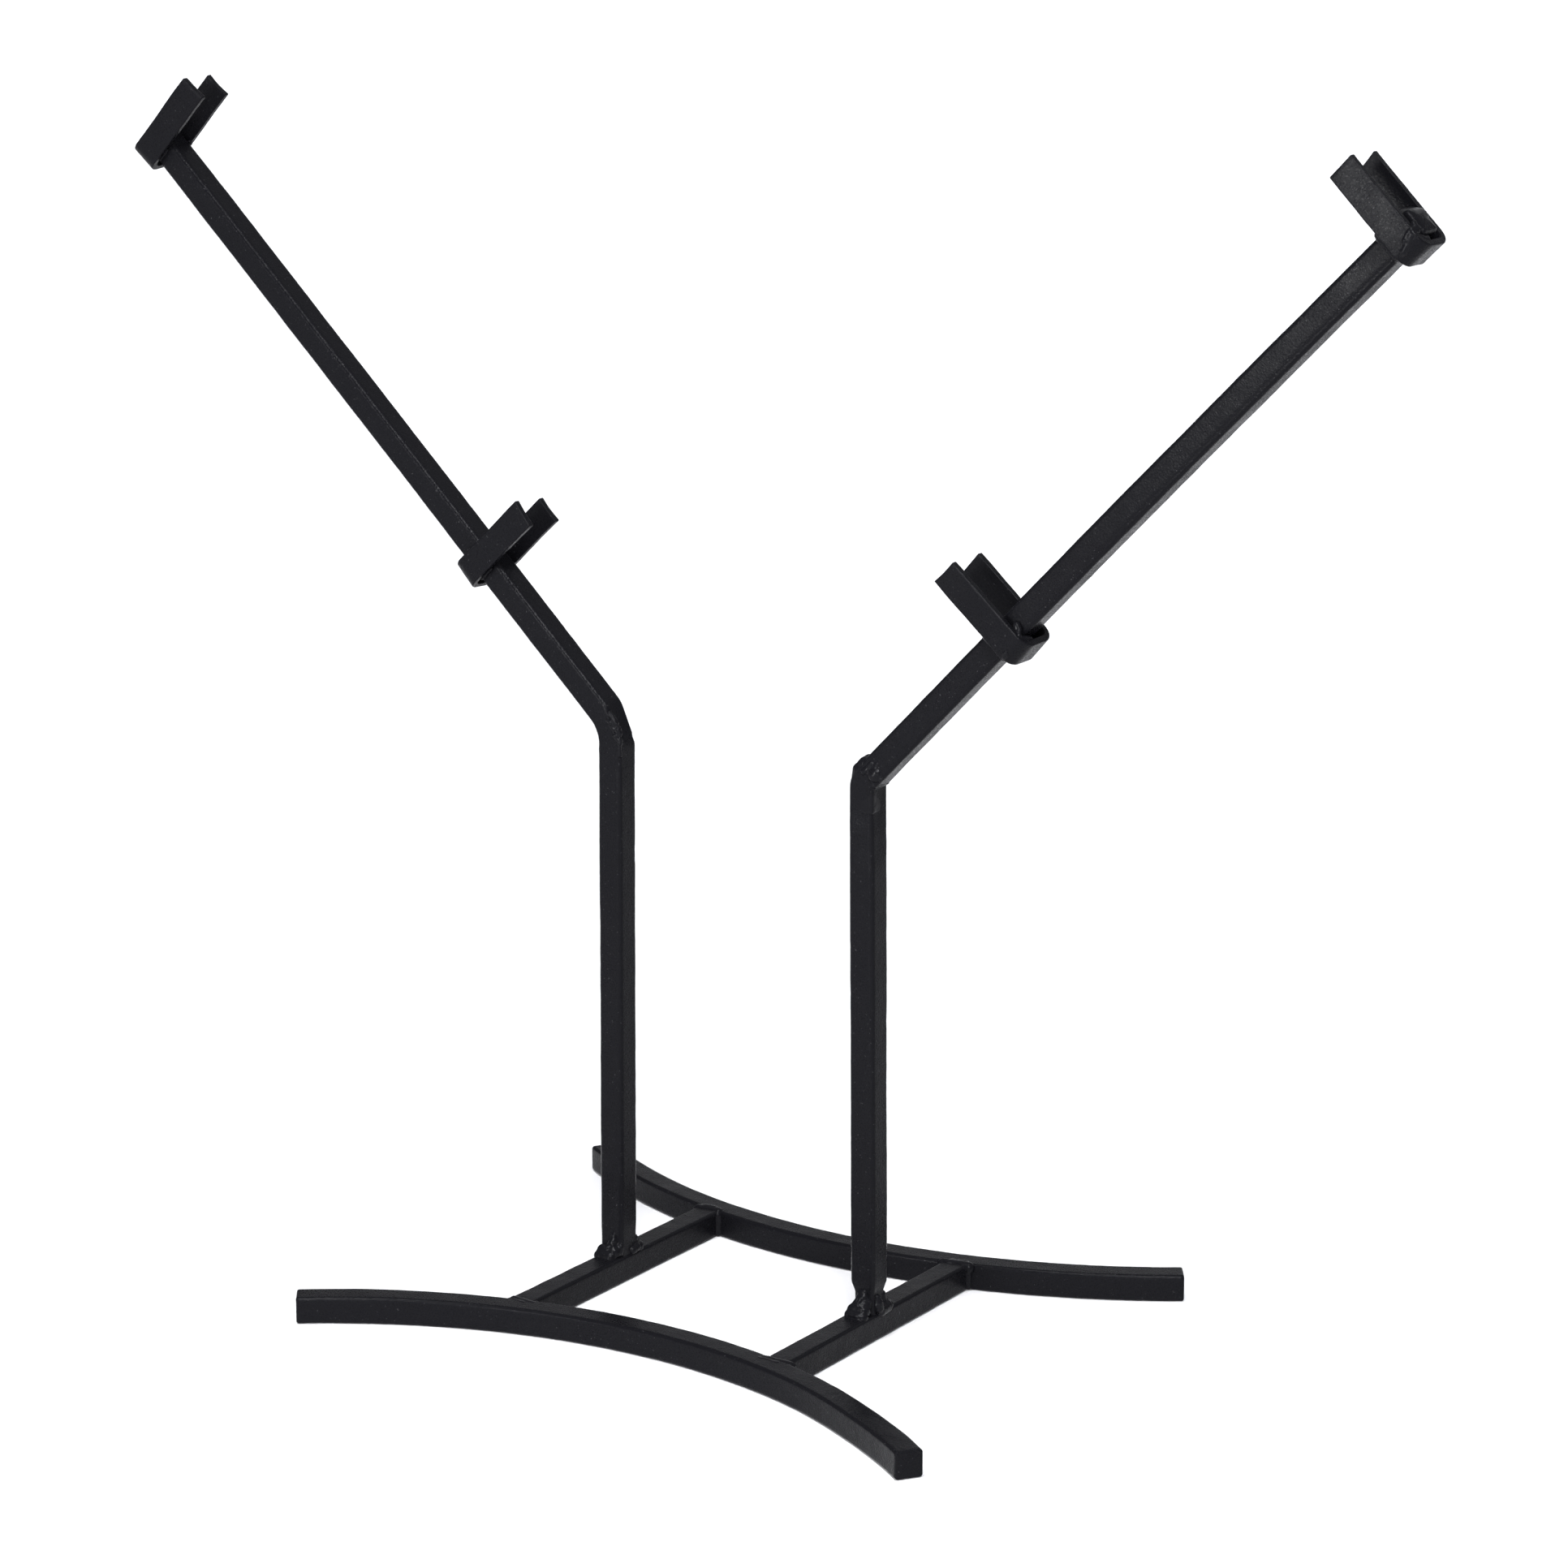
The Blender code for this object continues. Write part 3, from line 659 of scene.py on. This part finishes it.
# Weld metal between each saddle and its arm, as (start, end, radius) in millimetres in the saddle's
# frame.
TACKS = {
    "left_lower_front": (
        ((-4.3, -4.9, -2.0), (-4.3, -4.9, 3.0), 0.7), ((5.0, -4.7, 1.6), (5.2, -4.7, 3.0), 0.8),
        ((5.6, -4.5, 0.2), (5.9, -4.5, 0.4), 0.6),
    ),
    "left_upper_front": (((-4.2, -4.9, -3.0), (-4.2, -4.9, 2.0), 0.7),),
    "right_lower_front": (
        ((-4.8, -5.6, -4.0), (-4.8, -5.6, 4.0), 1.5), ((5.0, -5.2, -1.6), (5.3, -5.0, -0.6), 1.3),
        ((4.3, -6.4, -3.4), (4.8, -5.8, -2.6), 0.9), ((-3.6, -7.3, -4.6), (-2.2, -7.5, -4.4), 1.1),
        ((2.0, -7.6, -3.8), (3.4, -7.4, -3.4), 0.8), ((3.4, -5.4, -4.6), (3.5, -2.4, -5.3), 1.4),
    ),
    "right_upper_front": (
        ((-4.8, -5.6, -4.0), (-4.8, -5.6, 4.0), 1.5), ((-1.4, -7.4, -4.6), (3.6, -7.2, -3.0), 1.4),
        ((1.0, -7.8, -2.8), (4.0, -7.4, -1.6), 1.1), ((-4.2, -6.6, -4.6), (-2.6, -7.2, -4.8), 1.0),
        ((4.6, -6.0, -2.4), (4.9, -5.4, -0.6), 1.2), ((3.4, -5.4, -4.6), (3.5, -2.4, -5.3), 1.4),
    ),
    "left_lower_rear": (
        ((-4.7, 5.2, -3.0), (-4.7, 5.2, 3.0), 1.1), ((4.7, 5.2, -3.0), (4.7, 5.2, 3.0), 1.1),
    ),
    "left_upper_rear": (
        ((-4.7, 5.4, -3.0), (-4.7, 5.4, 3.0), 1.1), ((4.3, 5.4, -3.0), (4.3, 5.4, 2.6), 1.0),
    ),
    "right_lower_rear": (
        ((-4.7, 5.2, -3.0), (-4.7, 5.2, 3.0), 1.2), ((4.7, 5.2, -3.0), (4.7, 5.2, 2.4), 1.1),
    ),
    "right_upper_rear": (
        ((-4.7, 5.4, -3.0), (-4.7, 5.4, 3.0), 1.3), ((1.6, -1.2, 3.6), (1.6, 3.6, 3.6), 3.2),
        ((2.4, -1.2, 2.8), (2.4, 3.6, 2.8), 3.2), ((3.2, -1.2, 2.0), (3.2, 3.4, 2.0), 3.2),
    ),
}


def make_tack(name, side, saddle, facing):
    """facing is -1 for the front prong and 1 for the rear one."""
    strap = (STRAP_WIDTH / MM - STRAP_INSET, STRAP_THICKNESS / MM - STRAP_INSET, 8)
    arm_core = ((0, 0, 0), (6.0, THIN, THIN), -saddle["tilt"], "Y")
    strap_core = ((0, facing * STRAP_OFFSET / MM, 1.5), strap, 0, "Z")
    smooth, lumps, coat = 4, 0.00020, WELD_COAT
    if name == "right_upper_rear":  # the arm's end and this weld were ground to one smooth dome
        smooth, lumps, coat = 16, 0.00003, GROUND_COAT
    return weld_metal(f"{name}_tack_metal", saddle_place(side, saddle), TACKS[name],
                      (arm_core, strap_core), f"{name}_tack", smooth, lumps,
                      seed=len(name) * 0.1, coat=coat)


# Where the elbows were ground, in millimetres from where the axes meet: (centre, reach, push).
GRINDING = {
    "left": (
        ((4.2, 0.0, 1.6), 9.5, (-1.5, 0.0, -0.7)), ((4.4, -4.4, -12.0), 9.0, (-0.35, 0.35, 0.0)),
        ((-4.4, -2.0, -8.0), 3.5, (-0.5, 0.0, 0.0)), ((4.6, 3.0, -4.5), 2.0, (-0.5, -0.3, 0.0)),
    ),
    "right": (
        ((4.5, -4.5, -9.0), 11.0, (-0.75, 0.75, 0.0)), ((4.5, -4.5, -20.0), 9.0, (-0.4, 0.4, 0.0)),
    ),
}

# ---------------------------------------------------------------- build
ENDS = (("front", -1), ("rear", 1))
make_rail("front_rail", -1, 0.0004, 0.0008)
make_rail("rear_rail", 1, -0.0006, 0.0010)
for side_name, side_data in SIDES.items():
    make_crossbar(f"{side_name}_crossbar", side_data)
    arm_length = SADDLES[f"{side_name}_upper"]["along"] + side_data["overrun"]
    bent_bar, elbow_point = make_post_and_arm(side_name, side_data, arm_length)
    for spot, reach, push in GRINDING[side_name]:
        dab(bent_bar, elbow_point + Vector(spot) * MM, reach * MM, Vector(push) * MM)
    roughen(bent_bar, POST_WAVES, 0.1)
    piece(f"{side_name}_post_and_arm", bent_bar, BAR_COAT, "bar_coat",
          f"{side_name}_post", f"{side_name}_arm")
    make_elbow_weld(side_name, side_data, elbow_point)
    for end_name, end_facing in ENDS:
        make_rail_weld(f"{side_name}_{end_name}", side_data, end_facing)
        make_foot_weld(side_name, end_name, side_data)
    for level in ("lower", "upper"):
        saddle_name = f"{side_name}_{level}"
        make_saddle(saddle_name, side_data, SADDLES[saddle_name])
        for end_name, end_facing in ENDS:
            make_tack(f"{saddle_name}_{end_name}", side_data, SADDLES[saddle_name], end_facing)

# ---------------------------------------------------------------- camera
AZIMUTH, ELEVATION, ROLL = math.radians(34.2204), math.radians(14.1555), math.radians(-0.2315)
CAMERA_DISTANCE = 1.43042
LENS, SENSOR = 102.4, 36.0  # in millimetres
# What the camera looks at, from the middle of the rails.
TARGET = Vector((-0.011979, 0.041293, 0.162486))


def camera_frame():
    """Azimuth is measured from the front (-Y) towards +X, and roll turns the picture."""
    view = Vector((
        math.sin(AZIMUTH) * math.cos(ELEVATION),
        -math.cos(AZIMUTH) * math.cos(ELEVATION),
        math.sin(ELEVATION),
    ))
    flat = Vector((math.cos(AZIMUTH), math.sin(AZIMUTH), 0))
    upward = view.cross(flat)
    right = flat * math.cos(ROLL) + upward * math.sin(ROLL)
    upward = upward * math.cos(ROLL) - flat * math.sin(ROLL)
    turn = Matrix((right, upward, view)).transposed().to_4x4()
    return Matrix.Translation(TARGET + MIDDLE + view * CAMERA_DISTANCE) @ turn


camera_data = bpy.data.cameras.new("camera")
camera_data.lens = LENS
camera_data.sensor_width = SENSOR
camera = bpy.data.objects.new("camera", camera_data)
bpy.context.scene.collection.objects.link(camera)
camera.matrix_world = camera_frame()
bpy.context.scene.camera = camera

# ---------------------------------------------------------------- floor, light
FLOOR_REACH = 12
FLOOR_DROP = 0.0001  # the floor lies this far under the bars
FLOOR_COLOUR = (0.90, 0.90, 0.905, 1)
floor_mesh = bpy.data.meshes.new("floor")
floor_corners = [(x * FLOOR_REACH, y * FLOOR_REACH, 0) for x, y in ((-1, -1), (1, -1), (1, 1), (-1, 1))]
floor_mesh.from_pydata(floor_corners, [], [(0, 1, 2, 3)])
floor = bpy.data.objects.new("floor", floor_mesh)
floor.location.z = -FLOOR_DROP
bpy.context.scene.collection.objects.link(floor)
floor_material = bpy.data.materials.new("pale_floor")
floor_material.use_nodes = True
floor_shader = floor_material.node_tree.nodes["Principled BSDF"]
floor_shader.inputs["Base Color"].default_value = FLOOR_COLOUR
floor_shader.inputs["Roughness"].default_value = 0.6
floor_shader.inputs["Specular IOR Level"].default_value = 0.2
floor_mesh.materials.append(floor_material)

# Soft light from all round: an even studio, brighter in a few patches. Each patch is a direction
# (azimuth from -Y towards +X, and elevation), the angles from it where it starts and is full, all in
# degrees, and its brightness.
STUDIO = 0.19
STUDIO_COLOUR = (0.985, 0.99, 1.02, 1)
PATCHES = (
    ((155, 65), (62, 28), 0.34),  # large softbox overhead, to the rear
    ((5, 75), (11, 5), 21.0),  # small one overhead
    ((-10, 4), (11, 5), 22.0),  # low key light, front left
    ((38, 45), (12, 7), 30.0),  # small softbox above the camera
    ((35, -2), (12, 6), 14.0),  # low one behind the camera
    ((205, 6), (24, 9), 0.60),  # pale wall behind
)


def toward(azimuth, elevation):
    """The direction at an azimuth and elevation in degrees."""
    azimuth, elevation = math.radians(azimuth), math.radians(elevation)
    flat = math.cos(elevation)
    return (math.sin(azimuth) * flat, -math.cos(azimuth) * flat, math.sin(elevation))


world = bpy.data.worlds.new("studio")
bpy.context.scene.world = world
world.use_nodes = True
world_nodes, world_links = world.node_tree.nodes, world.node_tree.links
background = world_nodes["Background"]
background.inputs["Color"].default_value = STUDIO_COLOUR
directions = world_nodes.new("ShaderNodeTexCoord")
total = None
for patch_direction, (outer_angle, inner_angle), brightness in PATCHES:
    dot = world_nodes.new("ShaderNodeVectorMath")
    dot.operation = "DOT_PRODUCT"
    dot.inputs[1].default_value = toward(*patch_direction)
    world_links.new(directions.outputs["Generated"], dot.inputs[0])
    glow = world_nodes.new("ShaderNodeMapRange")
    glow.interpolation_type = "SMOOTHSTEP"
    glow.inputs["From Min"].default_value = math.cos(math.radians(outer_angle))
    glow.inputs["From Max"].default_value = math.cos(math.radians(inner_angle))
    glow.inputs["To Max"].default_value = brightness
    world_links.new(dot.outputs["Value"], glow.inputs["Value"])
    add = world_nodes.new("ShaderNodeMath")
    add.operation = "ADD"
    add.inputs[0].default_value = STUDIO
    if total is not None:
        world_links.new(total, add.inputs[0])
    world_links.new(glow.outputs["Result"], add.inputs[1])
    total = add.outputs[0]
world_links.new(total, background.inputs["Strength"])

# A small soft lamp in front of the stand, aimed at the tip of the right arm.
LAMP_SIZE, LAMP_POWER = 0.16, 1.3  # in metres and watts
LAMP_PLACE, LAMP_TARGET = Vector((-0.02, -0.52, 0.30)), Vector((0.21, 0, 0.35))
lamp_data = bpy.data.lights.new("tip_lamp", "AREA")
lamp_data.shape = "DISK"
lamp_data.size = LAMP_SIZE
lamp_data.energy = LAMP_POWER
lamp = bpy.data.objects.new("tip_lamp", lamp_data)
bpy.context.scene.collection.objects.link(lamp)
lamp.location = LAMP_PLACE + MIDDLE
lamp.rotation_euler = (LAMP_TARGET - LAMP_PLACE).to_track_quat("-Z", "Y").to_euler()

bpy.context.scene.view_settings.view_transform = "Standard"

# ---------------------------------------------------------------- update the scene
bpy.context.view_layer.update()
